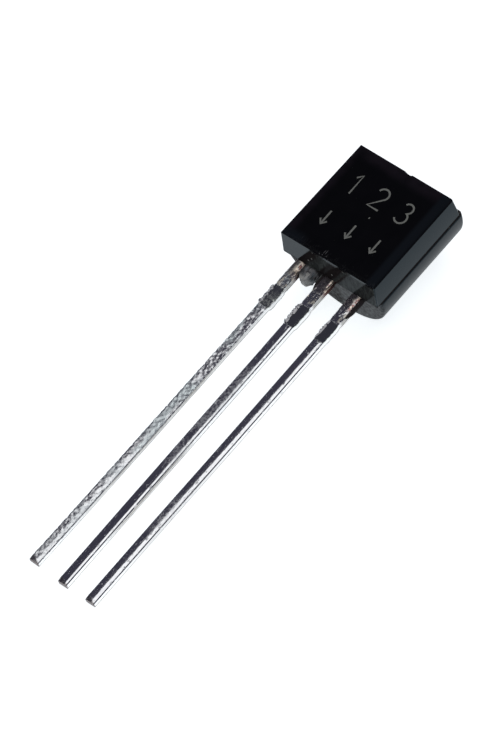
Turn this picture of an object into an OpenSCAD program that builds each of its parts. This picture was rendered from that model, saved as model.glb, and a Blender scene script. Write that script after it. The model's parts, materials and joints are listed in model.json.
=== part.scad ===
// Three-lead transistor in a moulded D-shaped case, lying on its rounded back.
//
// The pieces are drawn in the case's own axes: X across the flat face, Y from the flat face
// into the case, Z from the leads towards the top, with Z = 0 at the lower parting edge.
// at_rest() then lays the part down: the lower rim of the rounded back and the tips of the
// leads touch Z = 0, the flat face looks up, and +Y runs from the lead tips to the case.

/* [Moulded case] */
// Width of the flat half at the parting plane
case_w = 4.48; // [4.2:0.01:4.8]
// Height of the flat half at the parting plane
case_h = 4.53; // [4.2:0.01:4.8]
// Thickness from the flat face to the rounded back
case_d = 3.31; // [3.0:0.01:3.7]
// Depth of the parting plane behind the flat face
parting_d = 1.0; // [0.8:0.01:1.3]
// Draft of each side of the flat half, face to parting plane
side_draft = 0.075; // [0.02:0.005:0.2]
// Draft of the lower side of the flat half
lower_draft = 0.2; // [0.05:0.01:0.3]
// Draft of the upper side of the flat half
upper_draft = 0.03; // [0.01:0.005:0.2]
// Bevel round the flat face
face_bevel = 0.09; // [0.03:0.01:0.15]

/* [Rounded half] */
// Radius of the rounded back
back_r = 2.25; // [2.15:0.01:2.35]
// Step by which the rounded half starts above the lower parting edge
back_step = 0.18; // [0.05:0.01:0.3]
// Height of the rounded half
back_h = 4.46; // [4.1:0.01:4.7]
// Radius of the rims of the rounded half
rim_r = 0.11; // [0.05:0.01:0.2]

/* [Marks of the moulding] */
// Width of the broken gate stub
gate_w = 0.5; // [0.3:0.01:0.56]
// Shift of the gate stub from the middle of the gap towards the emitter lead
gate_shift = 0.16; // [0:0.01:0.17]
// How far the gate stub hangs below the parting edge
gate_drop = 0.54; // [0.3:0.01:0.8]
// Depth of the gate stub behind the parting plane
gate_d = 0.42; // [0.3:0.01:0.6]
// Width of the thin flash beside two of the leads
flash_w = 0.14; // [0.05:0.01:0.18]
// Thickness of the flash
flash_t = 0.09; // [0.03:0.01:0.2]
// How far the flash runs down the lead from the parting edge
flash_drop = 0.78; // [0.3:0.01:1.1]
// Depth of the chip in the top edge of the flat face
chip_depth = 0.04; // [0.01:0.01:0.08]
// Radius of the chip's curve
chip_r = 0.8; // [0.4:0.05:1.5]
// Distance of the chip to the right of the middle
chip_x = 0.14; // [-1:0.01:1]

/* [Leads] */
// Distance between neighbouring leads
lead_pitch = 1.32; // [1.2:0.01:1.35]
// Shift of the whole lead frame to the right in the case
frame_shift = -0.04; // [-0.08:0.01:0.08]
// Width of a lead
lead_w = 0.4; // [0.32:0.01:0.46]
// Thickness of the lead strip
lead_t = 0.25; // [0.2:0.01:0.4]
// Length of the leads below the parting edge
lead_len = 14.52; // [6:0.01:20]
// How much shorter the emitter lead is cut
emitter_trim = 0.11; // [0:0.01:0.5]
// Width over the tie-bar stubs
stub_w = 0.51; // [0.47:0.01:0.6]
// Start of the tie-bar stubs below the parting edge
stub_start = 1.22; // [1:0.01:2]
// Length of the tie-bar stubs
stub_len = 0.75; // [0.3:0.01:1.2]
// Length of the slope on each end of a stub
stub_slope = 0.12; // [0.05:0.01:0.3]
// Length of the rolled edge at the cut tip
tip_roll = 0.15; // [0.05:0.01:0.3]
// Depth of the rolled edge at the cut tip
tip_roll_d = 0.04; // [0.01:0.01:0.08]
// Splay of the emitter lead at its tip
emitter_splay = -0.03; // [-0.4:0.01:0.4]
// Splay of the collector lead at its tip
collector_splay = 0.1; // [-0.4:0.01:0.4]
// Splay of the base lead at its tip
base_splay = 0.11; // [-0.4:0.01:0.4]

/* [Lead frame inside the case] */
// Width of the die pad
pad_w = 1.9; // [1.4:0.05:2.4]
// Height of the die pad
pad_h = 1.65; // [1.2:0.05:1.8]
// Height of the die pad's lower edge
pad_z = 2.2; // [2.05:0.05:2.4]
// Width of the necks inside the case
neck_w = 0.5; // [0.46:0.01:0.56]
// Height at which the leads widen to the necks
neck_z = 0.45; // [0.4:0.01:0.7]
// Width of a bonding post's head
post_w = 0.86; // [0.7:0.01:0.9]
// Height of a bonding post's head
post_h = 0.72; // [0.5:0.01:0.8]
// Height of the lower edge of the heads
post_z = 1.0; // [0.8:0.05:1.15]
// How far the heads lean towards the middle
post_lean = 0.12; // [0.05:0.01:0.18]
// Depth of the locking notches in the die pad
lock_d = 0.16; // [0.08:0.01:0.25]

/* [Chip and wires] */
// Side of the square silicon die
die_w = 0.42; // [0.3:0.01:0.6]
// Thickness of the die
die_t = 0.18; // [0.1:0.01:0.22]
// Thickness of the die attach
attach_t = 0.02; // [0.01:0.005:0.03]
// Margin of the die attach round the die
attach_margin = 0.05; // [0.02:0.01:0.1]
// Height of the die's centre above the pad's lower edge
die_z = 0.55; // [0.45:0.05:0.9]
// Distance of each bond from the middle of the die
bond_x = 0.11; // [0.08:0.01:0.13]
// Diameter of the bond wires
wire_d = 0.03; // [0.02:0.005:0.05]
// Rise of the wire loops above the die
loop_rise = 0.2; // [0.12:0.01:0.3]

/* [Hidden] */
$fn = 96;

back_axis_d = case_d - back_r;
back_top = back_step + back_h;
back_root = back_step + rim_r;
frame_back_d = parting_d + lead_t;
pad_top = pad_z + pad_h;
stub_end = stub_start + stub_len;
die_centre_z = pad_z + die_z;
die_back_d = parting_d - attach_t;
die_face_d = die_back_d - die_t;
post_centre_z = post_z + post_h / 2;
post_x = lead_pitch - post_lean;
wire_sides = 8;
wire_steps = 20;

// The lying pose: a line from the back edge of the tips touches the lower rim.
rim_d = case_d - rim_r - frame_back_d;
rim_z = back_root + lead_len;
rest_tilt = atan(rim_d / rim_z) + asin(rim_r / norm([rim_d, rim_z]));
lift = frame_back_d * cos(rest_tilt) + lead_len * sin(rest_tilt);
far_end = (case_d - rim_r) * sin(rest_tilt) + (back_top - rim_r) * cos(rest_tilt) + rim_r;
near_end = (parting_d + tip_roll_d) * sin(rest_tilt) - lead_len * cos(rest_tilt);

module at_rest() {
    translate([0, -(far_end + near_end) / 2, lift])
        rotate([rest_tilt - 90, 0, 0])
            children();
}

// Places what is drawn about the middle lead where the lead frame sits in the case.
module in_frame() {
    translate([frame_shift, 0, 0])
        children();
}

// Extrudes an outline drawn in X and Z from depth d0 to depth d1.
module plate(d0, d1) {
    translate([0, d1, 0])
        rotate([90, 0, 0])
            linear_extrude(height = d1 - d0)
                children();
}

// ---------------------------------------------------------------- moulded case

// Plan of the flat half: bevelled face, drafted sides.
module flat_half_plan() {
    edge_x = case_w / 2 - side_draft;
    polygon([
        [-case_w / 2, parting_d],
        [-edge_x, face_bevel],
        [face_bevel - edge_x, 0],
        [edge_x - face_bevel, 0],
        [edge_x, face_bevel],
        [case_w / 2, parting_d]
    ]);
}

// Side profile of the flat half, X standing for depth and Y for height.
module flat_half_profile() {
    edge_top = case_h - upper_draft;
    polygon([
        [parting_d, 0],
        [parting_d, case_h],
        [face_bevel, edge_top],
        [0, edge_top - face_bevel],
        [0, lower_draft + face_bevel],
        [face_bevel, lower_draft]
    ]);
}

module flat_half() {
    intersection() {
        linear_extrude(height = case_h)
            flat_half_plan();
        rotate([90, 0, 90])
            translate([0, 0, -case_w / 2])
                linear_extrude(height = case_w)
                    flat_half_profile();
    }
}

// Half of the section through the rounded half's axis, with rounded rims.
module back_section() {
    translate([0, rim_r])
        square([back_r, back_h - 2 * rim_r]);
    square([back_r - rim_r, back_h]);
    for (z = [rim_r, back_h - rim_r])
        translate([back_r - rim_r, z])
            circle(r = rim_r);
}

module rounded_half() {
    translate([0, back_axis_d, back_step])
        rotate_extrude(angle = 180)
            back_section();
    // slab between the parting plane and the axis of the rounded back
    translate([0, back_axis_d, back_step])
        rotate([90, 0, 0])
            linear_extrude(height = back_axis_d - parting_d)
                union() {
                    back_section();
                    mirror([1, 0])
                        back_section();
                }
}

// Stub left where the moulding gate broke off, between two leads, with a round end.
module gate_stub() {
    gate_x = -lead_pitch / 2 - gate_shift;
    radius = gate_w / 2;
    plate(parting_d, parting_d + gate_d)
        translate([gate_x, radius - gate_drop])
            union() {
                circle(r = radius);
                translate([-radius, 0])
                    square([gate_w, gate_drop - radius + back_root]);
            }
}

// Film of resin that squeezed out along one edge of a lead; side is 1 on its right.
module flash(x, side) {
    edge = x + side * lead_w / 2;
    rim = edge + side * flash_w;
    plate(parting_d, parting_d + flash_t)
        polygon([
            [edge, back_root],
            [edge, -flash_drop],
            [rim, flash_w - flash_drop],
            [rim, back_root]
        ]);
}

// Chip knocked out of the top edge of the flat face.
module edge_chip() {
    translate([chip_x, 0, case_h - upper_draft + chip_r - chip_depth])
        rotate([90, 0, 0])
            cylinder(r = chip_r, h = 4 * face_bevel, center = true);
}

module case() {
    color([0.07, 0.07, 0.075])
        at_rest()
            difference() {
                union() {
                    flat_half();
                    rounded_half();
                    in_frame() {
                        gate_stub();
                        flash(0, -1);
                        flash(lead_pitch, 1);
                    }
                }
                edge_chip();
                in_frame() {
                    emitter_strip();
                    collector_strip();
                    base_strip();
                    attach_pad();
                    die_block();
                    emitter_wire();
                    base_wire();
                }
            }
}

// ----------------------------------------------------------------------- leads

// Right half of a lead's outline below the case, drawn from the parting edge to the tip.
function lead_side(length, splay) = [
    [lead_w / 2, -stub_start],
    [stub_w / 2, -stub_start - stub_slope],
    [stub_w / 2, -stub_end],
    [lead_w / 2, -stub_end - stub_slope],
    [lead_w / 2 + splay, -length]
];

function mirrored(points) = [for (i = [len(points) - 1:-1:0]) [-points[i][0], points[i][1]]];

// Outline of a whole lead about its own middle: head points, then the legs below the case.
module lead_outline(head, length, splay) {
    polygon(concat(head, lead_side(length, splay), mirrored(lead_side(length, -splay))));
}

// Strip of a lead: the outline, with the front edge of the tip rolled by the cut.
module lead_strip(x, length, splay, head) {
    difference() {
        translate([x, 0, 0])
            plate(parting_d, frame_back_d)
                lead_outline(head, length, splay);
        translate([x + splay - lead_w, parting_d, -length])
            rotate([atan(tip_roll_d / tip_roll), 0, 0])
                translate([0, tip_roll_d * cos(atan(tip_roll_d / tip_roll)) - lead_t, -tip_roll])
                    cube([2 * lead_w, lead_t, 3 * tip_roll]);
    }
}

// Head of a bonding post that leans towards the middle; side is 1 for a post on the left.
function post_head(side) = [
    [-lead_w / 2, neck_z],
    [-neck_w / 2, neck_z],
    [-neck_w / 2, post_z],
    [side * post_lean - post_w / 2, post_z],
    [side * post_lean - post_w / 2, post_z + post_h],
    [side * post_lean + post_w / 2, post_z + post_h],
    [side * post_lean + post_w / 2, post_z],
    [neck_w / 2, post_z],
    [neck_w / 2, neck_z],
    [lead_w / 2, neck_z]
];

// Die pad on the middle lead, with a locking notch in each side.
function pad_head() = let (lock_z = pad_top - lock_d) [
    [-lead_w / 2, neck_z],
    [-neck_w / 2, neck_z],
    [-neck_w / 2, pad_z],
    [-pad_w / 2, pad_z],
    [-pad_w / 2, lock_z - 2 * lock_d],
    [-pad_w / 2 + lock_d, lock_z - lock_d],
    [-pad_w / 2, lock_z],
    [-pad_w / 2, pad_top],
    [pad_w / 2, pad_top],
    [pad_w / 2, lock_z],
    [pad_w / 2 - lock_d, lock_z - lock_d],
    [pad_w / 2, lock_z - 2 * lock_d],
    [pad_w / 2, pad_z],
    [neck_w / 2, pad_z],
    [neck_w / 2, neck_z],
    [lead_w / 2, neck_z]
];

module emitter_strip() {
    lead_strip(-lead_pitch, lead_len - emitter_trim, emitter_splay, post_head(1));
}

module collector_strip() {
    lead_strip(0, lead_len, collector_splay, pad_head());
}

module base_strip() {
    lead_strip(lead_pitch, lead_len, base_splay, post_head(-1));
}

module emitter_lead() {
    color([0.78, 0.79, 0.8])
        at_rest()
            in_frame()
                emitter_strip();
}

module collector_lead() {
    color([0.72, 0.73, 0.75])
        at_rest()
            in_frame()
                collector_strip();
}

module base_lead() {
    color([0.75, 0.76, 0.78])
        at_rest()
            in_frame()
                base_strip();
}

// -------------------------------------------------------------- die and attach

module attach_pad() {
    side = die_w + 2 * attach_margin;
    translate([-side / 2, die_back_d, die_centre_z - side / 2])
        cube([side, attach_t, side]);
}

module die_block() {
    translate([-die_w / 2, die_face_d, die_centre_z - die_w / 2])
        cube([die_w, die_t, die_w]);
}

module die_attach() {
    color([0.62, 0.62, 0.6])
        at_rest()
            in_frame()
                attach_pad();
}

module silicon_die() {
    color([0.3, 0.33, 0.4])
        at_rest()
            in_frame()
                die_block();
}

// ------------------------------------------------------------------ bond wires

// Loop from the die's face to a post: it leaves and lands square to both surfaces.
function loop_point(from, to, t) =
    let (s = t * t * (3 - 2 * t))
    [
        from[0] + (to[0] - from[0]) * s,
        from[1] + (to[1] - from[1]) * t - loop_rise * sin(180 * t),
        from[2] + (to[2] - from[2]) * s
    ];

function loop_path(from, to) = [for (i = [0:wire_steps]) loop_point(from, to, i / wire_steps)];

function path_tangent(path, i) =
    i == 0 ? [0, -1, 0]
    : i == len(path) - 1 ? [0, 1, 0]
    : (path[i + 1] - path[i - 1]) / norm(path[i + 1] - path[i - 1]);

// Tube along a path that lies in one plane through the Y direction.
module tube_along(path, diameter) {
    chord = path[len(path) - 1] - path[0];
    across = cross([0, 1, 0], chord) / norm(cross([0, 1, 0], chord));
    rings = [
        for (i = [0:len(path) - 1])
            let (up = cross(path_tangent(path, i), across))
            for (k = [0:wire_sides - 1])
                let (a = 360 * (k + 0.5) / wire_sides)
                path[i] + diameter / 2 * (cos(a) * across + sin(a) * up)
    ];
    last = (len(path) - 1) * wire_sides;
    walls = [
        for (i = [0:len(path) - 2])
            for (k = [0:wire_sides - 1])
                let (a = i * wire_sides + k, b = i * wire_sides + (k + 1) % wire_sides)
                [a, b, b + wire_sides, a + wire_sides]
    ];
    start_cap = [[for (k = [wire_sides - 1:-1:0]) k]];
    end_cap = [[for (k = [0:wire_sides - 1]) last + k]];
    polyhedron(points = rings, faces = concat(walls, start_cap, end_cap));
}

module bond_wire(side) {
    tube_along(
        loop_path(
            [side * bond_x, die_face_d, die_centre_z],
            [side * post_x, parting_d, post_centre_z]
        ),
        wire_d
    );
}

module emitter_wire() {
    bond_wire(-1);
}

module base_wire() {
    bond_wire(1);
}

module emitter_bond_wire() {
    color([0.85, 0.65, 0.3])
        at_rest()
            in_frame()
                emitter_wire();
}

module base_bond_wire() {
    color([0.85, 0.65, 0.3])
        at_rest()
            in_frame()
                base_wire();
}

case();
emitter_lead();
collector_lead();
base_lead();
die_attach();
silicon_die();
emitter_bond_wire();
base_bond_wire();
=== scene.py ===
"""Dresses a three-lead moulded transistor that lies on its rounded back.

Everything is modelled in the case's own axes: X across the flat face, Y from the flat face into
the case, Z from the leads towards the top, with Z = 0 at the lower parting edge. lay_down() then
turns each finished piece to where the frame has it.
"""

import json
import math

import bmesh
import bpy
from bpy.props import FloatProperty, FloatVectorProperty, PointerProperty
from mathutils import Matrix, Vector

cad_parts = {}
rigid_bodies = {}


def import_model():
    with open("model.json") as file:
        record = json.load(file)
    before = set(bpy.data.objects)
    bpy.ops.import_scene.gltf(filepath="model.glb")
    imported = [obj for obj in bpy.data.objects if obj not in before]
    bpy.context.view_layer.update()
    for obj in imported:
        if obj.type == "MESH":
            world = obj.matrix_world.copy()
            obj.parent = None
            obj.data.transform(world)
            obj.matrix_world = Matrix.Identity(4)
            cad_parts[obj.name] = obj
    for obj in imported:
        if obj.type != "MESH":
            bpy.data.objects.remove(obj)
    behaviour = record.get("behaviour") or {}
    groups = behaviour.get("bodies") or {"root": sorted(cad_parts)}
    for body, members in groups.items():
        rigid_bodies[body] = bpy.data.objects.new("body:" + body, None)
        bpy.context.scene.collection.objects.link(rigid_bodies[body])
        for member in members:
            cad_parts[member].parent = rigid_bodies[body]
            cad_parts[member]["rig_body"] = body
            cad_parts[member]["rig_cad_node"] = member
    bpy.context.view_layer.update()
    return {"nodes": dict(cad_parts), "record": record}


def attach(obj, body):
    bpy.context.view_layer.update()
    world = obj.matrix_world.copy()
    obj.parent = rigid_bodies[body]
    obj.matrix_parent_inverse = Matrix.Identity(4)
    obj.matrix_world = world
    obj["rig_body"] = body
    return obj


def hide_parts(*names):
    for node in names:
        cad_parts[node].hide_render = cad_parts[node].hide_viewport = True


bl_info = {
    "name": "Moulded Transistor Builder",
    "version": (1, 0, 0),
    "blender": (4, 5, 0),
    "location": "View3D > Sidebar > Transistor",
    "description": "Models and finishes a three-lead moulded transistor and its studio",
    "category": "Add Mesh",
}

MM = 0.001
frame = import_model()

# Height of the middle of the flat face above the lower parting edge.
FACE_MIDDLE = 2.35 * MM
# Two places closer than TINY are the same, a seam closer than WELD is merged, and what lies within
# NEAR of a plane belongs to it.
TINY = 0.001 * MM
WELD = 0.1 * TINY
NEAR = 0.01 * MM
# How far two forms reach into each other where they are joined.
OVERLAP = 0.03 * MM
# Sides of the cylinder that the rounded half is cut from.
BACK_SIDES = 160
# Angles in degrees up to which neighbouring faces of the case, the marks and the leads look smooth.
SMOOTH_CASE = 28
SMOOTH_MARK = 60
SMOOTH_LEAD = 18
# Nodes of the frame that get a pocket in the case, and how far in millimetres each pocket is grown,
# so that neighbouring pockets run into each other.
POCKETS = {
    "emitter_lead": 0.0,
    "collector_lead": 0.0,
    "base_lead": 0.0,
    "die_attach": 0.003,
    "silicon_die": 0.002,
}
# Gate stub and flashes in millimetres: lower and upper corner, and the X towards which they narrow.
GATE = ((-1.13, 0.97, -0.56), (-0.63, 1.42, 0.3), -0.9)
FLASHES = {
    "middle_flash": ((-0.38, 1.04, -0.76), (-0.2, 1.13, 0.3), -0.2),
    "right_flash": ((1.4, 1.04, -0.96), (1.6, 1.13, 0.3), 1.44),
}
# How they narrow downwards: height above the foot in millimetres, share of the width.
GATE_TAPER = ((0.3, 0.98), (0.2, 0.95), (0.13, 0.9), (0.07, 0.82), (0.02, 0.7))
FLASH_TAPER = ((0.32, 0.85), (0.22, 0.75), (0.12, 0.6), (0.04, 0.5))
# Cuts along each of their edges.
GATE_CUTS = 13
FLASH_CUTS = 9
# Heights between which they grow rough on their way down.
GATE_BREAK = (-0.02 * MM, -0.15 * MM)
FLASH_BREAK = (0, -0.1 * MM)
# How far before the parting plane the grooves at the sides have their middle.
GROOVE_SHIFT = 0.005 * MM
# Lump that knocks the chip out of the top edge of the face: its middle and reach in millimetres.
CHIP_MIDDLE = (0.13, 0.02, 4.53)
CHIP_REACH = (0.18, 0.15, 0.11)
# Ends of the short stroke that makes the dot between the rows of marks, in millimetres.
DOT = ((0.14, 2.31), (0.18, 2.31))
# Strips across the front of a lead, and the two rounds of cuts that make its rings.
COLUMNS = 12
RING_CUTS = (99, 5)
# Neck of a lead in millimetres: its top, how far it runs on below the top of the stub, and its slope.
NECK_TOP = -0.03
NECK_RUN = 0.05
NECK_SLOPE = 0.04
# Heights of the upper and lower end of the lattice that bends a lead.
CAGE_TOP = 0.6 * MM
CAGE_FOOT = -14.7 * MM
# Twist or lift of a lead that has none, at each step down the lead.
STRAIGHT = (0,) * 7
# The leads from left to right, in millimetres and degrees in the case's own axes. stub: top, foot,
# width and shift of the tie-bar stub. folds: start, end and depth, top, foot, then power and fade.
# crinkles: size, depth, top and foot. shifts, twists and lifts: how the lead bends, at even steps
# down. The rest is what tin_finish() takes.
LEADS = {
    "left": {
        "node": "emitter_lead",
        "tip": -14.41,
        "stub": (-1.2, -2.12, 0.52, 0.0),
        "folds": (
            (-0.75, -1.0, 0.015, -2.1, -14.6),
            (0.1, 0.84, 0.024, -4.5, -20, 1.5, 5),
            (0.0, 0.6, 0.045, 0.4, -0.5),
        ),
        "crinkles": (
            (0.115, 0.05, -2.05, -8.0),
            (0.13, 0.03, -7.8, -14.6),
            (0.1, 0.03, -0.35, -1.25),
        ),
        "shifts": (0.005, -0.01, -0.018, -0.022, -0.022, -0.022, -0.036),
        "twists": (0, 2, 5.5, 7.5, 8.5, 8.5, 8.5),
        "lifts": (0, 0, 0, 0, 0.01, 0.02, 0.035),
        "drift": -0.002,
        "haze": (-2, -14),
        "crinkled": 1.0,
        "side_reflection": (-7.5, 7, 0.9),
        "clean": (-0.02, -0.3),
    },
    "middle": {
        "node": "collector_lead",
        "tip": -14.5,
        "stub": (-1.32, -2.25, 0.53, -0.014),
        "folds": ((0.46, 0.84, 0.024, -2.2, -14.6, 2), (0.65, 0.9, 0.02, 0.4, -0.42)),
        "crinkles": (
            (0.13, 0.014, -4.3, -9.3),
            (0.5, 0.002, -2.0, -14.6),
            (0.1, 0.03, -0.35, -1.35),
        ),
        "shifts": (0.0, -0.01, 0.01, 0.02, 0.035, 0.055, 0.075),
        "drift": 0.007,
        "haze": (-4.7, -8.5),
        "crinkled": 0.2,
        "side_reflection": (-10, 3.2, 1.0),
        "clean": (0.1, -0.3),
    },
    "right": {
        "node": "base_lead",
        "tip": -14.512,
        "stub": (-1.3, -2.16, 0.475, -0.014),
        "folds": (
            (0.2, 0.84, 0.028, -2.1, -14.6, 1.8),
            (-0.35, 0.84, 0.014, -4.0, -20, 1.5, 4),
            (0.3, 1.0, 0.035, 0.4, -1.1),
        ),
        "crinkles": (
            (0.14, 0.004, -2.0, -14.6),
            (0.5, 0.002, -2.0, -14.6),
            (0.1, 0.03, -0.35, -1.35),
        ),
        "shifts": (-0.03, 0.01, 0.03, 0.042, 0.042, 0.05, 0.065),
        "drift": 0.004,
        "haze": (-10.2, -10.6),
        "crinkled": 0.1,
        "side_reflection": (-10, 4, 0.4),
        "clean": (0.03, 0.05),
    },
}
# A place on the lower side of the case mirrors a lead this much further right for each millimetre
# that it lies in front of the leads.
MIRROR_SLOPE = 0.774
# Left and right edge of the smooth patch on a tie-bar stub, in millimetres from the lead's middle.
PRESSED_PATCH = (-0.16, 0.25)

# Tints of the moulding compound: purple on two edges of the face, a painted bluish sheen towards
# its right edge, and painted highlights where the gate broke off.
PLUM = (0.018, 0.0135, 0.018)
BLUE_SHEEN = (0.0125, 0.015, 0.019)
GATE_HIGHLIGHT = (0.8, 0.8, 0.74)
# Tints in the film between the leads, which also paints dark reflections of the leads and shade.
FILM_RUNS = (0.16, 0.18, 0.165)
FILM_STAIN_AND_REFLECTION = (0.046, 0.039, 0.037)
FILM_SPECKS = (0.6, 0.62, 0.56)
FILM_CRUST_AND_SHADE = (0.06, 0.05, 0.05)
# Tints of the metal of a lead. The side, side reflection, root shade, neck glint and burr tints
# are painted light and shade.
MATT_TIN = (0.74, 0.86, 0.86)
DRAWN_TIN = (0.55, 0.56, 0.62)
SIDE_HIGHLIGHT_TIN = (0.96, 0.97, 0.98)
SIDE_REFLECTION_TIN = (0.22, 0.2, 0.17)
NECK_METAL = (0.2, 0.195, 0.18)
NECK_GLINTS = (0.95, 0.9, 0.76)
ROOT_SHADE = (0.09, 0.032, 0.028)
ROOT_SPECKS = (1.0, 0.85, 0.7)
BURR_HIGHLIGHT = (1.0, 1.0, 1.0)
CUT_METAL = (0.2, 0.17, 0.17)
# Camera: width of its sensor in millimetres, and the nearest thing that it sees in metres.
SENSOR_WIDTH = 36
CLIP_START = 0.005
# Side of the floor in metres, the tint of its glow, and the strength as seen and as mirrored.
FLOOR_SIZE = 3
FLOOR_GLOW = (0.94, 0.98, 1.0)
GLOW_SEEN = 0.9
GLOW_MIRRORED = 0.86


def length(name, default_mm, description):
    """A length that a user may change, given here in millimetres."""
    return FloatProperty(
        name=name, description=description, default=default_mm * MM, unit="LENGTH", precision=5
    )


def colour(name, default, description):
    """A colour that a user may change."""
    return FloatVectorProperty(
        name=name, description=description, default=default, size=3, subtype="COLOR"
    )


def angle(name, default_degrees, description):
    """An angle that a user may change, given here in degrees."""
    return FloatProperty(
        name=name, description=description, default=math.radians(default_degrees), unit="ROTATION"
    )


# ---------------------------------------------------------------- sizes and finishes


class CaseSizes(bpy.types.PropertyGroup):
    """Sizes of the moulded case."""

    width: length("Width", 4.48, "Width of the flat half at the parting plane")
    height: length("Height", 4.53, "Height of the flat half at the parting plane")
    parting: length("Parting depth", 1.0, "Depth of the parting plane behind the flat face")
    side_draft: length("Side draft", 0.07, "Draft of each side of the flat half")
    lower_draft: length("Lower draft", 0.2, "Draft of the lower side of the flat half")
    upper_draft: length("Upper draft", 0.021, "Draft of the upper side of the flat half")
    face_bevel: length("Face bevel", 0.1, "Bevel round the flat face")
    corner_round: length("Corner rounding", 0.045, "Rounding of the corners of the flat half")
    back_radius: length("Back radius", 2.25, "Radius of the rounded back")
    depth: length("Depth", 3.287, "Thickness from the flat face to the rounded back")
    back_start: length("Back start", 0.125, "Height at which the rounded half starts")
    back_top: length("Back top", 4.64, "Height of the top of the rounded half")
    back_draft: length("Back draft", 0.085, "Draft of each end of the rounded half at the back")
    rim: length("Rim", 0.12, "Radius of the rims of the rounded half")
    seam: length("Seam", 0.02, "How far the flat half reaches behind the fronts of the leads")
    lean: length("Lean", 0.05, "How far the upper left corner of the face leans in")
    soft_edge: angle("Soft edge", 24, "Slope of the other bevels of the face")
    hard_edge: angle("Hard edge", 45, "Slope of the right bevel of the face")
    groove: length("Groove", 0.09, "Side of the square notch along the parting line")


class LeadSizes(bpy.types.PropertyGroup):
    """Sizes of the strip leads."""

    pitch: length("Pitch", 1.32, "Distance between neighbouring leads")
    shift: length("Shift", -0.04, "Shift of the lead frame to the right in the case")
    width: length("Width", 0.41, "Width of a lead")
    thickness: length("Thickness", 0.25, "Thickness of the lead strip")
    chamfer: length("Chamfer", 0.032, "Chamfer along the edges of the front")
    neck: length("Neck", 0.44, "Width of a lead between the case and its tie-bar stub")
    root: length("Root", 0.5, "Height up to which the leg reaches into the case")
    stub_slope: length("Stub slope", 0.16, "Length of the slope on each end of a stub")
    tear: length("Tear", 0.12, "Roughness of the torn edges of the stubs")
    roll_length: length("Roll length", 0.2, "Length of the rolled edge at the cut tip")
    roll_depth: length("Roll depth", 0.04, "Depth of the rolled edge at the cut tip")


class MarkSizes(bpy.types.PropertyGroup):
    """Sizes of the pin marks on the flat face."""

    stroke: length("Stroke", 0.075, "Width of a stroke")
    upper_row: length("Upper row", 2.7, "Height of the foot of the figures")
    lower_row: length("Lower row", 1.2, "Height of the tips of the pointers")
    pitch: length("Pitch", 1.15, "Distance between neighbouring figures")
    relief: length("Relief", 0.004, "How far a stroke stands proud of the face")


class Finishes(bpy.types.PropertyGroup):
    """Colours of the case, the leads and what is sealed inside."""

    epoxy: colour("Epoxy", (0.006, 0.0053, 0.0056), "Moulding compound")
    epoxy_tint: colour("Epoxy tint", (0.35, 0.75, 1.0), "Tint of what the moulding compound mirrors")
    epoxy_scuff: colour("Epoxy scuff", (0.36, 0.36, 0.36), "Scuffed or broken moulding compound")
    # The film that this colours is partly painted dark reflection and painted shade.
    residue: colour("Residue", (0.085, 0.095, 0.088), "Dull film between the leads")
    mark: colour("Mark", (0.3, 0.31, 0.28), "Marks burnt into the face")
    tin: colour("Tin", (0.88, 0.89, 0.9), "Tin plate")
    bare_copper: colour("Bare copper", (0.3, 0.12, 0.095), "Metal that shows through thin plate")
    pressed_metal: colour("Pressed metal", (0.58, 0.61, 0.57), "Smooth metal where the tie bar was cut")
    silicon: colour("Silicon", (0.2, 0.22, 0.28), "Chip")
    solder: colour("Solder", (0.5, 0.5, 0.48), "Solder under the chip")
    gold: colour("Gold", (0.9, 0.62, 0.25), "Bond wires")


class StudioSizes(bpy.types.PropertyGroup):
    """Camera and lights."""

    aim: FloatVectorProperty(
        name="Aim",
        description="Point that the camera looks at",
        default=(-0.0000975, 0.0004316, 0.001234),
        subtype="XYZ",
    )
    distance: length("Distance", 252.6, "Distance from the camera to its aim")
    azimuth: angle("Azimuth", 52.72, "Turn of the camera from -Y towards +X")
    elevation: angle("Elevation", 50.68, "Height of the camera")
    roll: angle("Roll", 13.41, "Roll of the camera")
    lens: FloatProperty(
        name="Lens", description="Focal length in millimetres on the camera's sensor", default=349.8
    )
    floor: colour("Floor", (0.82, 0.82, 0.82), "Studio floor")
    dark_sky: colour("Dark sky", (0.0395, 0.038, 0.058), "Unlit part of the studio")
    softbox: FloatProperty(name="Softbox", description="Power of the softbox in watts", default=1.27)
    softbox_place: FloatVectorProperty(
        name="Softbox place",
        description="Middle of the softbox",
        default=(0.11, 0.1, 0.5),
        subtype="XYZ",
    )
    softbox_width: length("Softbox width", 460, "Size of the softbox along X")
    softbox_length: length("Softbox length", 800, "Size of the softbox along Y")


# ---------------------------------------------------------------- hand tools


def deselect():
    """Leaves edit mode and selects nothing."""
    if bpy.context.object and bpy.context.object.mode != "OBJECT":
        bpy.ops.object.mode_set(mode="OBJECT")
    bpy.ops.object.select_all(action="DESELECT")


def take(piece):
    """Makes a piece the only selected one and the active one."""
    deselect()
    piece.select_set(True)
    bpy.context.view_layer.objects.active = piece
    return piece


def call(piece, name):
    """Names a piece and its mesh."""
    piece.name = name
    piece.data.name = name
    return piece


def new_piece(name):
    """Names the primitive that was just added and sets its place into its mesh."""
    piece = call(bpy.context.object, name)
    bpy.ops.object.transform_apply(location=True, rotation=True, scale=True)
    return piece


def add_block(name, place, size, turn=0.0):
    """Adds a block by its middle and size, turned by some degrees about Z."""
    deselect()
    bpy.ops.mesh.primitive_cube_add(
        size=1, location=place, rotation=(0, 0, math.radians(turn)), scale=size
    )
    return new_piece(name)


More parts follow.
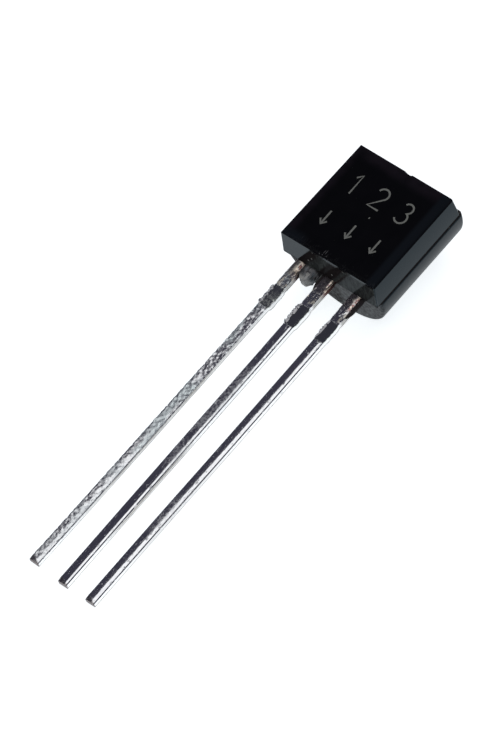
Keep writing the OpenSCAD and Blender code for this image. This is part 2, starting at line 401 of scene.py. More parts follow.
def pick(piece, kind, test):
    """In edit mode, selects the vertices, edges or faces for which test is true."""
    bpy.ops.mesh.select_mode(type=kind)
    bpy.ops.mesh.select_all(action="DESELECT")
    shape = bmesh.from_edit_mesh(piece.data)
    group = {"VERT": shape.verts, "EDGE": shape.edges, "FACE": shape.faces}[kind]
    for item in group:
        item.select_set(bool(test(item)))
    shape.select_flush_mode()
    bmesh.update_edit_mesh(piece.data)


def edit(piece, everything=False):
    """Enters edit mode, with all of the piece selected if everything is true."""
    take(piece)
    bpy.ops.object.mode_set(mode="EDIT")
    if everything:
        bpy.ops.mesh.select_all(action="SELECT")


def leave_edit():
    """Goes back to object mode."""
    bpy.ops.object.mode_set(mode="OBJECT")


def middle(edge):
    """Place halfway along an edge."""
    return (edge.verts[0].co + edge.verts[1].co) / 2


def runs_along(edge, axis):
    """Whether an edge is parallel to axis 0, 1 or 2."""
    along = edge.verts[1].co - edge.verts[0].co
    return abs(along[axis]) > 0.995 * along.length


def slice_off(place, normal, **side):
    """In edit mode, cuts what is selected at a plane, deletes one side and closes the cut."""
    bpy.ops.mesh.bisect(plane_co=place, plane_no=normal, use_fill=True, threshold=WELD, **side)


def modify(piece, kind, **settings):
    """Adds one modifier, sets it and applies it."""
    take(piece)
    bpy.ops.object.modifier_add(type=kind)
    modifier = piece.modifiers[-1]
    for name, value in settings.items():
        setattr(modifier, name, value)
    bpy.ops.object.modifier_apply(modifier=modifier.name)


def combine(piece, other, operation):
    """Boolean of two closed pieces; the second one is used up."""
    modify(piece, "BOOLEAN", operation=operation, solver="EXACT", object=other)
    bpy.data.objects.remove(other)


def ramp(value, start, end):
    """0 at start and 1 at end, straight between and level outside."""
    return min(max((value - start) / (end - start), 0.0), 1.0)


def press(piece, name, weigh, **settings):
    """Displaces a piece where weigh, a function of a place in the case's own axes, is above zero."""
    group = piece.vertex_groups.new(name=name)
    for vertex in piece.data.vertices:
        weight = weigh(vertex.co)
        if weight > 0:
            group.add([vertex.index], min(weight, 1.0), "REPLACE")
    modify(piece, "DISPLACE", vertex_group=name, **settings)


def roughen(piece, name, size, depth, weigh, direction="NORMAL"):
    """Presses a soft noise into a piece; size and depth in millimetres."""
    texture = bpy.data.textures.new(name, type="CLOUDS")
    texture.noise_scale = size * MM
    texture.noise_depth = 2
    press(
        piece,
        name,
        weigh,
        texture=texture,
        texture_coords="LOCAL",
        direction=direction,
        strength=depth * MM,
        mid_level=0.5,
    )


def case_axes():
    """Matrix from the case's own axes to the frame, from the mount on the flat face."""
    face = next(m for m in frame["record"]["mounts"] if m["name"] == "flat_face")
    normal = Vector(face["axis"])
    tilt = math.atan2(-normal.y, normal.z)
    turn = Matrix.Rotation(tilt - math.pi / 2, 4, "X")
    face_middle = Vector((0, 0, FACE_MIDDLE))
    return Matrix.Translation(Vector(face["pos_m"]) - turn @ face_middle) @ turn


def lay_down(piece):
    """Turns a piece from the case's own axes into the frame and leaves its object unturned."""
    take(piece)
    piece.matrix_world = case_axes()
    bpy.ops.object.transform_apply(location=True, rotation=True, scale=True)


def finish(piece, material, slot, *nodes):
    """Gives a piece its only material and body, hides the nodes it replaces; slot is not used."""
    piece.data.materials.clear()
    piece.data.materials.append(material)
    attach(piece, "root")
    if nodes:
        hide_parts(*nodes)


# ---------------------------------------------------------------- shader writing


class Wire:
    """A socket's value in a material; arithmetic on it adds Math nodes."""

    def __init__(self, paint, socket):
        self.paint = paint
        self.socket = socket

    def _math(self, operation, *values):
        return self.paint.node("ShaderNodeMath", {"operation": operation}, *values)

    def __add__(self, other):
        return self._math("ADD", self, other)

    def __sub__(self, other):
        return self._math("SUBTRACT", self, other)

    def __mul__(self, other):
        return self._math("MULTIPLY", self, other)

    def __radd__(self, other):
        return self._math("ADD", other, self)

    def __rsub__(self, other):
        return self._math("SUBTRACT", other, self)

    def __rmul__(self, other):
        return self._math("MULTIPLY", other, self)

    def __abs__(self):
        return self._math("ABSOLUTE", self)

    def clamp(self):
        """The value, kept between 0 and 1."""
        return self.paint.node("ShaderNodeClamp", {}, self)

    def most(self, other):
        """The larger of two values."""
        return self._math("MAXIMUM", self, other)

    def step(self, low, high):
        """0 below low and 1 above high, smooth between; low may lie above high to turn it round."""
        settings = {"interpolation_type": "SMOOTHSTEP"}
        if low < high:
            return self.paint.node("ShaderNodeMapRange", settings, self, low, high, 0.0, 1.0)
        return self.paint.node("ShaderNodeMapRange", settings, self, high, low, 1.0, 0.0)

    def band(self, low, high, soft):
        """1 between low and high, fading over soft outside them."""
        return self.step(low - soft, low) * self.step(high + soft, high)


class Paint:
    """A Principled material whose patterns are placed in the case's own axes, in millimetres."""

    def __init__(self, name, roughness=0.5, metallic=0.0, specular=0.5):
        self.material = bpy.data.materials.new(name)
        self.material.use_nodes = True
        self.tree = self.material.node_tree
        self.tree.nodes.clear()
        self.output = self.tree.nodes.new("ShaderNodeOutputMaterial")
        self.shader = self.tree.nodes.new("ShaderNodeBsdfPrincipled")
        self.shader.inputs["Roughness"].default_value = roughness
        self.shader.inputs["Metallic"].default_value = metallic
        self.shader.inputs["Specular IOR Level"].default_value = specular
        self.tree.links.new(self.shader.outputs["BSDF"], self.output.inputs["Surface"])

    def node(self, kind, settings, *values, out=0, **named):
        """Adds a node: its settings first, then values or wires for its sockets."""
        made = self.tree.nodes.new(kind)
        for name, value in settings.items():
            setattr(made, name, value)
        for key, value in [*enumerate(values), *named.items()]:
            self.plug(made.inputs[key], value)
        return Wire(self, made.outputs[out])

    def plug(self, socket, value):
        """Links a wire to a socket, or sets the socket to a number or colour."""
        if isinstance(value, Wire):
            self.tree.links.new(value.socket, socket)
        elif isinstance(socket.default_value, (int, float)):
            socket.default_value = value
        else:
            size = len(socket.default_value)
            socket.default_value = (*value, 1.0)[:size]

    def feed(self, name, value):
        """Links or sets a socket of the shader."""
        self.plug(self.shader.inputs[name], value)

    def place(self, stretch=(1, 1, 1)):
        """Position in the case's own axes in millimetres, each axis multiplied by its stretch."""
        inverse = case_axes().inverted()
        turned = self.node(
            "ShaderNodeMapping",
            {"vector_type": "POINT"},
            self.node("ShaderNodeTexCoord", {}, out="Object"),
            tuple(x / MM for x in inverse.translation),
            tuple(inverse.to_euler()),
            (1 / MM, 1 / MM, 1 / MM),
        )
        if tuple(stretch) == (1, 1, 1):
            return turned
        return self.node("ShaderNodeVectorMath", {"operation": "MULTIPLY"}, turned, stretch)

    def axes(self):
        """The three coordinates of place() as separate wires."""
        split = self.node("ShaderNodeSeparateXYZ", {}, self.place())
        return [Wire(self, split.socket.node.outputs[i]) for i in range(3)]

    def noise(self, place, scale, detail=2.0, rough=0.5):
        """Soft noise; scale is how often it repeats in one unit of place."""
        return self.node(
            "ShaderNodeTexNoise", {}, Vector=place, Scale=scale, Detail=detail, Roughness=rough
        )

    def cells(self, place, scale):
        """Distance to the middle of the nearest of many scattered cells."""
        return self.node("ShaderNodeTexVoronoi", {}, Vector=place, Scale=scale)

    def mix(self, factor, a, b):
        """Colour a where factor is 0 and colour b where it is 1."""
        made = self.tree.nodes.new("ShaderNodeMix")
        made.data_type = "RGBA"
        self.plug(made.inputs["Factor"], factor)
        colours = [socket for socket in made.inputs if socket.type == "RGBA"]
        self.plug(colours[0], a)
        self.plug(colours[1], b)
        return Wire(self, next(socket for socket in made.outputs if socket.type == "RGBA"))

    def coats(self, shade, *coats):
        """Lays colours over a shade one by one, each where its own factor is 1."""
        for factor, tint in coats:
            shade = self.mix(factor, shade, tint)
        return shade

    def dull(self, factor, tint):
        """Covers the shader, where factor is 1, with a film that mirrors nothing."""
        film = self.tree.nodes.new("ShaderNodeBsdfPrincipled")
        film.inputs["Roughness"].default_value = 0.9
        film.inputs["Specular IOR Level"].default_value = 0.0
        self.plug(film.inputs["Base Color"], tint)
        both = self.tree.nodes.new("ShaderNodeMixShader")
        self.plug(both.inputs["Fac"], factor)
        self.tree.links.new(self.shader.outputs["BSDF"], both.inputs[1])
        self.tree.links.new(film.outputs["BSDF"], both.inputs[2])
        self.tree.links.new(both.outputs["Shader"], self.output.inputs["Surface"])

    def bump(self, height, distance_mm, strength):
        """Normal of a surface with a relief of this height."""
        return self.node(
            "ShaderNodeBump", {}, Strength=strength, Distance=distance_mm * MM, Height=height
        )


def shaded(tint, share):
    """A colour made darker or lighter."""
    return tuple(part * share for part in tint)


def epoxy_finish():
    """Black moulding compound: glossy flat half, satin back, grainy ends and broken stubs."""
    look = bpy.context.scene.finishes
    paint = Paint("moulded_epoxy", specular=0.235)
    paint.feed("Specular Tint", look.epoxy_tint)
    x, y, z = paint.axes()
    spot = paint.place()
    cloud = paint.noise(spot, 1.4, 3)
    lumps = paint.noise(spot, 7, 3, 0.6)
    grain = paint.noise(spot, 24, 3, 0.65)
    streak = paint.noise(paint.place((11, 11, 2)), 1, 2)
    # Zones: flat face, rounded half, both lower sides, all that hangs below them, and the gate.
    face = y.step(0.12, 0.02)
    back = y.step(0.97, 1.02)
    lower = z.step(0.32, 0.2)
    broken = z.step(0.02, -0.06)
    gate = broken * x.band(-1.2, -0.6, 0.04)
    # Marks of handling: short scratches and a worn strip at the lower edge of the face, and dust.
    scored = paint.noise(paint.place((26, 26, 3)), 1, 1).step(0.6, 0.7)
    scratch = scored * z.band(0.15, 0.42, 0.12) * y.step(0.2, 0.05)
    edge = z.band(0.17, 0.31, 0.03) * y.step(0.14, 0.04)
    dust = paint.cells(spot, 5.5).step(0.09, 0.03) * paint.noise(spot, 2.3).step(0.52, 0.6)
    scuff = scratch * (x.band(-0.4, -0.05, 0.1) * 0.4 + 0.05)
    scuff = scuff + edge * grain.step(0.4, 0.7) * 0.03 + dust * 0.08
    # The lower end of the rounded half is grainy, and the gate is broken all over.
    fracture = (streak * 0.6 + lumps * 0.4).step(0.3, 0.6)
    scuff = scuff + back * lower * lumps.step(0.4, 0.7) * 0.18 + gate * fracture * 0.85
    scuff = scuff.clamp()
    # The face turns purple towards its left and upper edges. Towards its right edge and lower left
    # corner lies a bluish sheen, which is a painted reflection.
    plum = face * cloud.step(0.2, 0.6) * (x.step(-1.7, -2.05) + z.step(3.9, 4.3)).clamp()
    blue_sheen = face * (x.step(1.7, 1.9) + z.step(0.7, 0.3) * x.step(-1.0, -1.5)).clamp()
    # Painted highlights on the broken gate, brightest towards its tip.
    glint = (z.step(-0.35, -0.5) + streak.step(0.58, 0.68)).clamp()
    shade = paint.coats(
        paint.mix(cloud, shaded(look.epoxy, 0.7), shaded(look.epoxy, 1.3)),
        (plum, PLUM),
        (blue_sheen, BLUE_SHEEN),
        (scuff, look.epoxy_scuff),
        (gate * glint * 0.7, GATE_HIGHLIGHT),
    )
    paint.feed("Base Color", shade)
    worn = (back + scuff) * (1 - gate * 0.7)
    paint.feed("Roughness", (0.08 + cloud * 0.05 + grain * 0.03 + worn * 0.3).clamp())
    relief = grain * (0.12 + back * 0.2 + back * lower * 1.5) + lumps * broken * 5
    paint.feed("Normal", paint.bump(relief, 0.004, 0.5))
    # A dull film lies over what mirrors the gap between the first two leads: a painted dark reflection
    # of the leads and the gate stub. It is thinner towards the right and under the back, and lies on
    # the flashes and in the grooves too.
    mirrored = x - (1 - y) * MIRROR_SLOPE
    ragged = mirrored + lumps * 0.2
    off_edge = (y.step(0.09, 0.16) + y.step(0.14, 0.2)) * 0.5
    on_flat = lower * (1 - broken) * off_edge * y.step(1.04, 0.98)
    thick = mirrored.step(-1.56, -1.5) * ragged.step(0.4, 0.3) * (0.8 + grain * 0.2)
    thin = ragged.step(0.35, 0.45) * (0.35 + lumps * 0.5)
    between = on_flat * x.step(2.2, 2.12) * (thick + thin).clamp()
    blots = (lumps * 0.6 + grain * 0.4).step(0.56, 0.42)
    under = back * lower * (1 - broken) * (blots * 0.5 + x.step(0.1, -0.1) * 0.3)
    # The flashes carry a crust of their own; the left of the gate and the grooves get painted shade.
    flashes_and_gate_shade = (broken - gate) * 0.85 + gate * x.step(-1.0, -1.1) * 0.8
    groove = (abs(x) - 2.1).step(0.0, 0.05) * y.band(0.965, 1.03, 0.015) * 0.8
    # The film is streaked, darker where it mirrors the leads (a painted reflection) and in stains of
    # its own, specked, and crusty on the flashes; in the grooves and on the left of the gate its
    # crust tint is painted shade.
    runs = paint.noise(paint.place((9, 2.5, 9)), 1, 3, 0.6)
    lead_reflections = mirrored.step(-1.0, -1.35) + mirrored.band(-0.5, 0.0, 0.15)
    stain_and_reflection = (lead_reflections + cloud.step(0.5, 0.7) * 0.5 + back).clamp()
    specks = paint.cells(spot, 3.2).step(0.15, 0.09) * cloud.step(0.45, 0.5)
    film = paint.coats(
        look.residue,
        (runs.step(0.42, 0.62), FILM_RUNS),
        (stain_and_reflection, FILM_STAIN_AND_REFLECTION),
        (specks, FILM_SPECKS),
        ((groove + flashes_and_gate_shade).clamp(), FILM_CRUST_AND_SHADE),
    )
    paint.dull((between + under + flashes_and_gate_shade + groove).clamp(), film)
    return paint.material


def mark_finish():
    """Pale grainy print."""
    tint = bpy.context.scene.finishes.mark
    paint = Paint("burnt_mark", specular=0.3)
    grain = paint.noise(paint.place(), 22, 3, 0.7)
    paint.feed("Base Color", paint.mix(grain, shaded(tint, 0.7), shaded(tint, 1.2)))
    paint.feed("Roughness", 0.6 + grain * 0.2)
    paint.feed("Normal", paint.bump(grain, 0.004, 0.5))
    return paint.material


def tin_finish(name, centre, tip, stub, drift, haze, crinkled, side_reflection, clean):
    """Tin plate on one lead; all places in millimetres in the case's own axes.

    drift is how far the lead wanders to the left per millimetre down, haze is the top and foot of
    its hazy stretch, and crinkled says how rough the tin is. The argument after crinkled gives the
    middle, reach and strength of dark reflections painted along the right side. clean is where the
    clean right part of the front starts across the lead, at the root and on the neck.
    """
    look = bpy.context.scene.finishes
    paint = Paint(name, metallic=1.0)
    x, y, z = paint.axes()
    across = x - centre + z * drift
    spot = paint.place()
    drawn = paint.noise(paint.place((22, 22, 1.6)), 1, 2)
    mottle = paint.noise(spot, 9, 4, 0.65)
    fine = paint.noise(spot, 30, 3, 0.6)
    patchy = paint.noise(paint.place((2, 2, 0.7)), 1, 2)
    fleck = paint.noise(paint.place((16, 16, 6)), 1, 3, 0.6).step(0.61, 0.66)
    fleck = fleck * patchy.step(0.45, 0.55)
    front = y.step(1.1, 1.04)
    side = y.step(1.055, 1.07) * across.step(0.1, 0.12)
    # Torn tie bar: a smooth dark patch on the front, broken edges, and burrs on the left that are
    # painted white and matt as highlights.
    high, low = stub[:2]
    ragged = (paint.noise(spot, 11, 3, 0.7) - 0.5) * 0.25
    on_stub = (z + ragged).band(low, high, 0.03)
    pressed = on_stub * front * (across + ragged).band(*PRESSED_PATCH, 0.02)
    torn = on_stub * (1 - pressed)
    burr_highlight = on_stub * front * across.step(-0.11, -0.14) * paint.noise(spot, 6.5, 1).step(0.52, 0.57)
    rough_tin = crinkled * z.step(-17, -5) * (1 - on_stub)
    # Root and neck: dark metal. The root is painted darker, most on its side, as painted shade where
    # the lead meets the case. Its clean part has cream specks and bare reddish metal, and pale matt
    # specks on the clean part of root and neck are painted highlights.
    root = z.step(-0.85, -0.45)
    neck = z.step(-1.3, -1.1)
    root_from, neck_from = clean
    speck = paint.noise(paint.place((8.5, 8.5, 5.5)), 1, 4, 0.65)
    warm = root * across.step(root_from, root_from + 0.08) * y.step(1.1, 1.05)
    right = root * across.step(root_from - 0.1, root_from)
    right = right + (1 - root) * across.step(neck_from - 0.05, neck_from)
    # Pale, half-matt specks on the clean part of root and neck: painted highlights.
    neck_glints = neck * speck.step(0.555, 0.615) * right * y.step(1.08, 1.04)
    # Cut end, and the hazy stretch.
    sheared = (z + across * 0.45).step(tip + 0.15, tip + 0.1) * 0.65
    cut_end = sheared.most(z.step(tip + 0.015, tip + 0.008))
    haze_top, haze_foot = haze
    hazy = z.band(haze_foot, haze_top, 0.9) * (mottle * 0.5 + patchy * 0.5).step(0.42, 0.56)
    # The right side: dark reflections painted along it, and a painted dark line along its rear edge.
    reflection_middle, reach, strength = side_reflection
    streak = paint.noise(paint.place((0.1, 34, 0.5)), 1, 2).step(0.35, 0.6) * 0.6 + 0.4
    side_reflections = abs(z - reflection_middle).step(reach, reach * 0.3) * y.step(1.23, 1.13)
    side_reflections = side_reflections * streak * strength + y.step(1.19, 1.215) * 0.7
    shade = paint.coats(
        shaded(look.tin, 0.86),
        (mottle.step(0.3, 0.7), look.tin),
        (front * rough_tin * patchy.step(0.4, 0.6) * 0.6, MATT_TIN),
        (front * drawn.step(0.5, 0.75) * 0.35, DRAWN_TIN),
        # The right side is painted lighter: a painted highlight.
        (side, SIDE_HIGHLIGHT_TIN),
        (side * side_reflections.clamp(), SIDE_REFLECTION_TIN),
        (neck * (0.15 + y.step(1.02, 1.08) * 0.6), NECK_METAL),
        # Painted shade on the root where it meets the case, darkest on its side.
        (root * (0.6 + side * 0.4) * (1 - warm * 0.5), ROOT_SHADE),
        (neck_glints, NECK_GLINTS),
        (warm * speck.step(0.47, 0.42) * 0.85, look.bare_copper),
        (warm * speck.step(0.46, 0.52), ROOT_SPECKS),
        (pressed, look.pressed_metal),
        (burr_highlight, BURR_HIGHLIGHT),
        (cut_end, CUT_METAL),
    )
    paint.feed("Base Color", shade)
    paint.feed("Metallic", 1 - (neck_glints * 0.7 + burr_highlight).clamp())
    rough = 0.12 + mottle * 0.08 + hazy * 0.21 + rough_tin * 0.1
    rough = rough + torn * 0.08 + cut_end * 0.25 + root * 0.1
    paint.feed("Roughness", rough.clamp())
    relief = drawn * 0.5 + mottle * 0.3 + fine * rough_tin * 1.6 + fleck * (1 - on_stub) * 5
    relief = relief + torn * fine * 3 + neck * speck * 2
    paint.feed("Normal", paint.bump(relief, 0.006, 0.6))
    return paint.material


def plain_finish(name, tint, roughness, metallic):
    """A sealed piece: one colour with a slight cloud in it."""
    paint = Paint(name, roughness=roughness, metallic=metallic)
    cloud = paint.noise(paint.place(), 8, 3)
    paint.feed("Base Color", paint.mix(cloud, shaded(tint, 0.8), tint))
    paint.feed("Normal", paint.bump(paint.noise(paint.place(), 40, 2), 0.002, 0.4))
    return paint.material


# ---------------------------------------------------------------- moulded case


def flat_half(sizes):
    """Cube whose front is drawn in on all sides and chamfered."""
    back = sizes.parting + sizes.seam
    middle_height = sizes.height / 2
    place = (0, back / 2, middle_height)
    half = add_block("flat_half", place, (sizes.width, back, sizes.height))
    edit(half)
    narrowing = 1 - 2 * sizes.side_draft / sizes.width
    lowering = 1 - (sizes.lower_draft + sizes.upper_draft) / sizes.height
    pivot = sizes.lower_draft / (1 - lowering)
    pick(half, "FACE", lambda f: f.normal.y < -0.9)
    bpy.ops.transform.resize(value=(narrowing, 1, lowering), center_override=(0, 0, pivot))
    pick(half, "VERT", lambda v: v.co.x < 0 and v.co.y < TINY and v.co.z > middle_height)
    bpy.ops.transform.translate(value=(sizes.lean, 0, 0))
    pick(half, "VERT", lambda v: v.co.x < 0 and v.co.y < TINY and v.co.z < middle_height)
    bpy.ops.transform.translate(value=(-sizes.lean / 2, 0, -sizes.lean / 4))
    bevel_face(half, sizes)
    pick(half, "EDGE", lambda e: abs(e.verts[1].co.y - e.verts[0].co.y) > sizes.parting / 2)
    bpy.ops.mesh.bevel(offset=sizes.corner_round, segments=4, affect="EDGES")
    leave_edit()
    return half


def bevel_face(half, sizes):
    """Cuts a bevel along each edge of the flat face; the half is in edit mode."""
    edges = [e for e in bmesh.from_edit_mesh(half.data).edges if max(v.co.y for v in e.verts) < TINY]
    edges = [(middle(e), (e.verts[1].co - e.verts[0].co).normalized()) for e in edges]
    centre = sum((place for place, along in edges), Vector()) / len(edges)
    for place, along in edges:
        outwards = place - centre
        outwards = (outwards - along * outwards.dot(along)).normalized()
        slope = sizes.hard_edge if outwards.x > 0.5 else sizes.soft_edge
        bpy.ops.mesh.select_all(action="SELECT")
        slice_off(
            place - outwards * sizes.face_bevel,
            outwards * math.sin(slope) - Vector((0, math.cos(slope), 0)),
            clear_outer=True,
        )


def rounded_half(sizes):
    """Cylinder cut off at the parting plane, with drafted ends and soft rims."""
    axis_depth = sizes.depth - sizes.back_radius
    front = sizes.parting - OVERLAP
    tall = sizes.back_top - sizes.back_start
    deselect()
    bpy.ops.mesh.primitive_cylinder_add(
        vertices=BACK_SIDES,
        radius=sizes.back_radius,
        depth=tall,
        location=(0, axis_depth, sizes.back_start + tall / 2),
    )
    half = new_piece("rounded_half")
    edit(half, everything=True)
    slice_off((0, front, 0), (0, 1, 0), clear_inner=True)
    draft = math.atan(sizes.back_draft / sizes.back_radius)
    for height, sense in ((sizes.back_start, 1), (sizes.back_top, -1)):
        pick(
            half,
            "FACE",
            lambda f: abs(f.calc_center_median().z - height) < NEAR and abs(f.normal.z) > 0.9,
        )
        bpy.ops.transform.rotate(
            value=-sense * draft,
            orient_axis="X",
            orient_type="GLOBAL",
            center_override=(0, axis_depth, height),
        )
    pick(half, "EDGE", lambda e: not runs_along(e, 2) and middle(e).y > front + NEAR)
    bpy.ops.mesh.bevel(offset=sizes.rim, segments=5, affect="EDGES")
    leave_edit()
    return half


def tapered_block(name, box, cuts, taper):
    """Evenly cut block in millimetres whose lower rows narrow towards one X."""
    low, high, root = box
    low, high = Vector(low) * MM, Vector(high) * MM
    block = add_block(name, (low + high) / 2, high - low)
    edit(block, everything=True)
    bpy.ops.mesh.subdivide(number_cuts=cuts)
    for reach, share in taper:
        pick(block, "VERT", lambda v: v.co.z < low.z + reach * MM)
        bpy.ops.transform.resize(value=(share, 1, 1), center_override=(root * MM, 0, 0))
    leave_edit()
    return block


def gate_stub():
    """Where the runner of the mould broke off, beside the left lead."""
    stub = tapered_block("gate_stub", GATE, GATE_CUTS, GATE_TAPER)
    start, end = GATE_BREAK
    roughen(stub, "gate_break", size=0.13, depth=0.13, weigh=lambda co: ramp(co.z, start, end))
    return stub


def flash(name, box):
    """Film of compound along the edge of a lead."""
    film = tapered_block(name, box, FLASH_CUTS, FLASH_TAPER)
    start, end = FLASH_BREAK
    roughen(film, name, size=0.1, depth=0.05, weigh=lambda co: ramp(co.z, start, end))
    return film


def chip_cutter():
    """Lump that knocks a shallow chip out of the top edge of the face."""
    centre = Vector(CHIP_MIDDLE) * MM
    deselect()
    bpy.ops.mesh.primitive_ico_sphere_add(subdivisions=2, radius=MM, location=centre)
    cutter = new_piece("chip_cutter")
    edit(cutter, everything=True)
    bpy.ops.transform.resize(value=CHIP_REACH, center_override=centre)
    leave_edit()
    return cutter


def groove_cutter(sizes, side):
    """Square bar on its edge that cuts the parting line into one side."""
    place = (side * sizes.back_radius, sizes.parting - GROOVE_SHIFT, sizes.height / 2)
    size = (sizes.groove, sizes.groove, 2 * sizes.height)
    return add_block("groove_cutter", place, size, 45)


def bounds_face(edge, sizes):
    """Whether an edge lies between the bevels of the flat face and a side of the flat half."""
    outer = all(TINY < v.co.y < 0.2 * sizes.parting and v.co.z > TINY for v in edge.verts)
    facing = [face.normal.y for face in edge.link_faces]
    return outer and min(facing) < -0.6 < max(facing)


def case_shell():
    """Both halves as one moulding, with its chip, stub and flashes, cut out round what it holds."""
    sizes = bpy.context.scene.case_sizes
    shell = rounded_half(sizes)
    combine(shell, flat_half(sizes), "UNION")
    combine(shell, groove_cutter(sizes, -1), "DIFFERENCE")
    combine(shell, groove_cutter(sizes, 1), "DIFFERENCE")
    combine(shell, chip_cutter(), "DIFFERENCE")
    combine(shell, gate_stub(), "UNION")
    for name, box in FLASHES.items():
        combine(shell, flash(name, box), "UNION")
    for node, growth in POCKETS.items():
        pocket = cad_copy(node)
        edit(pocket, everything=True)
        bpy.ops.transform.shrink_fatten(value=growth * MM, use_even_offset=True)
        leave_edit()
        combine(shell, pocket, "DIFFERENCE")
    take(call(shell, "case_shell"))
    bpy.ops.object.shade_smooth_by_angle(angle=math.radians(SMOOTH_CASE))
    edit(shell)
    pick(shell, "EDGE", lambda e: bounds_face(e, sizes))
    bpy.ops.mesh.mark_sharp()
    leave_edit()
    modify(shell, "WEIGHTED_NORMAL", keep_sharp=True, weight=90)
    lay_down(shell)
    finish(shell, epoxy_finish(), "moulded_epoxy", "case")


# ---------------------------------------------------------------- pin marks


def arc(centre, radius, start, end, steps=12):
    """Points of a round stretch, in millimetres and degrees."""
    angles = (math.radians(start + (end - start) * k / steps) for k in range(steps + 1))
    return [(centre[0] + radius * math.cos(a), centre[1] + radius * math.sin(a)) for a in angles]


def figure_strokes(number):
    """Strokes of a plain 1, 2 or 3 about its own middle, from its foot up."""
    if number == 1:
        return [[(-0.13, 0.66), (0.05, 0.85), (0.05, 0.0)]]
    if number == 2:
        return [[*arc((0, 0.62), 0.23, 165, -35), (-0.25, 0.0), (0.26, 0.0)]]
    return [[*arc((0, 0.64), 0.2, 150, -75), *arc((-0.01, 0.235), 0.24, 65, -150)]]


def pointer_strokes():
    """Arrow that points down at a lead."""
    return [[(0, 0.62), (0, 0)], [(-0.15, 0.19), (0, 0), (0.15, 0.19)]]


def draw_stroke(points, across, up):
    """Draws one stroke vertex by vertex, thickens it and flattens it onto the face."""
    sizes = bpy.context.scene.mark_sizes
    places = [Vector((across + x * MM, 0, up + z * MM)) for x, z in points]
    deselect()
    bpy.ops.mesh.primitive_plane_add(size=MM, location=places[0])
    stroke = new_piece("mark_stroke")
    edit(stroke)
    bpy.ops.mesh.select_mode(type="VERT")
    bpy.ops.mesh.select_all(action="SELECT")
    bpy.ops.mesh.merge(type="CENTER")
    for here, there in zip(places, places[1:]):
        bpy.ops.mesh.extrude_vertices_move(TRANSFORM_OT_translate={"value": there - here})
    leave_edit()
    bpy.ops.object.convert(target="CURVE")
    stroke.data.bevel_depth = sizes.stroke / 2
    stroke.data.bevel_resolution = 3
    stroke.data.use_fill_caps = True
    bpy.ops.object.convert(target="MESH")
    edit(stroke, everything=True)
    bpy.ops.transform.resize(value=(1, 2 * sizes.relief / sizes.stroke, 1), center_override=(0, 0, 0))
    leave_edit()
    return stroke


def pin_marks():
    """Pin numbers over the leads, pointers under them and a dot between, as one piece."""
    sizes = bpy.context.scene.mark_sizes
    leads = bpy.context.scene.lead_sizes
    strokes = []
    for number in (1, 2, 3):
        across = leads.shift + (number - 2) * sizes.pitch
        strokes += [draw_stroke(points, across, sizes.upper_row) for points in figure_strokes(number)]
        strokes += [draw_stroke(points, across, sizes.lower_row) for points in pointer_strokes()]
    strokes.append(draw_stroke(DOT, 0, 0))
    marks = take(strokes[0])
    for stroke in strokes:
        stroke.select_set(True)
    bpy.ops.object.join()
    call(marks, "pin_marks")
    bpy.ops.object.shade_smooth_by_angle(angle=math.radians(SMOOTH_MARK))
    lay_down(marks)
    finish(marks, mark_finish(), "moulded_epoxy")


# ---------------------------------------------------------------- leads


def lead_blank(name, centre, tip):
    """Long bar with chamfered edges, cut into narrow columns and fine rings."""
    sizes = bpy.context.scene.lead_sizes
    front = bpy.context.scene.case_sizes.parting
    place = (centre, front + sizes.thickness / 2, (sizes.root + tip) / 2)
    lead = add_block(name, place, (sizes.width, sizes.thickness, sizes.root - tip))

    def is_front_corner(edge):
        here = middle(edge)
        return abs(here.x - centre) > sizes.width / 2 - TINY and here.y < front + TINY

    edit(lead)
    pick(lead, "EDGE", lambda e: runs_along(e, 0))
    bpy.ops.mesh.subdivide(number_cuts=COLUMNS - 1)
    pick(lead, "EDGE", lambda e: runs_along(e, 2) and is_front_corner(e))
    bpy.ops.mesh.bevel(offset=sizes.chamfer, segments=1, affect="EDGES")
    for cuts in RING_CUTS:
        pick(lead, "EDGE", lambda e: runs_along(e, 2))
        bpy.ops.mesh.subdivide(number_cuts=cuts)
    leave_edit()
    return lead


def front_skin(share=0.5):
    """Depth of this share of the strip's thickness; what lies before it is a lead's front."""
    scene = bpy.context.scene
    return scene.case_sizes.parting + scene.lead_sizes.thickness * share


def fold(lead, name, centre, start, end, depth, high, low, power=1.0, fade=0.15):
    """Rolls the front of a lead back, ever more between two shares of its half width.

    It reaches depth millimetres back between the heights high and low, fading over fade there.
    """
    skin = front_skin()
    half = bpy.context.scene.lead_sizes.width / 2

    def weigh(co):
        height = co.z / MM
        if co.y > skin or height > high or height < low:
            return 0
        near_end = ramp(min(high - height, height - low), 0, fade)
        return ramp((co.x - centre) / half, start, end) ** power * near_end

    press(lead, name, weigh, direction="Y", strength=depth * MM, mid_level=0)


def roll_tip(lead, centre, tip):
    """Rolls the front of the tip back, most of all on the left, as the shear leaves it."""
    sizes = bpy.context.scene.lead_sizes
    skin = front_skin()

    def weigh(co):
        share = 0.55 - 0.45 * (co.x - centre) / (sizes.width / 2)
        return share * ramp(co.z, tip + sizes.roll_length * share, tip) if co.y < skin else 0

    press(lead, "roll", weigh, direction="Y", strength=sizes.roll_depth, mid_level=0)


def widen(lead, centre, high, low, wide, slope, sideways=0.0):
    """Widens a lead between two heights, with a slope at either end; all in millimetres."""
    sizes = bpy.context.scene.lead_sizes
    edit(lead)
    steps = 4
    ratio = (wide * MM / sizes.width) ** (1 / steps)
    for step in range(steps):
        inset = slope * step / steps
        pick(lead, "VERT", lambda v: low + inset < v.co.z / MM < high - inset)
        bpy.ops.transform.resize(value=(ratio, 1, 1), center_override=(centre, 0, 0))
        bpy.ops.transform.translate(value=(sideways * MM / steps, 0, 0))
    leave_edit()


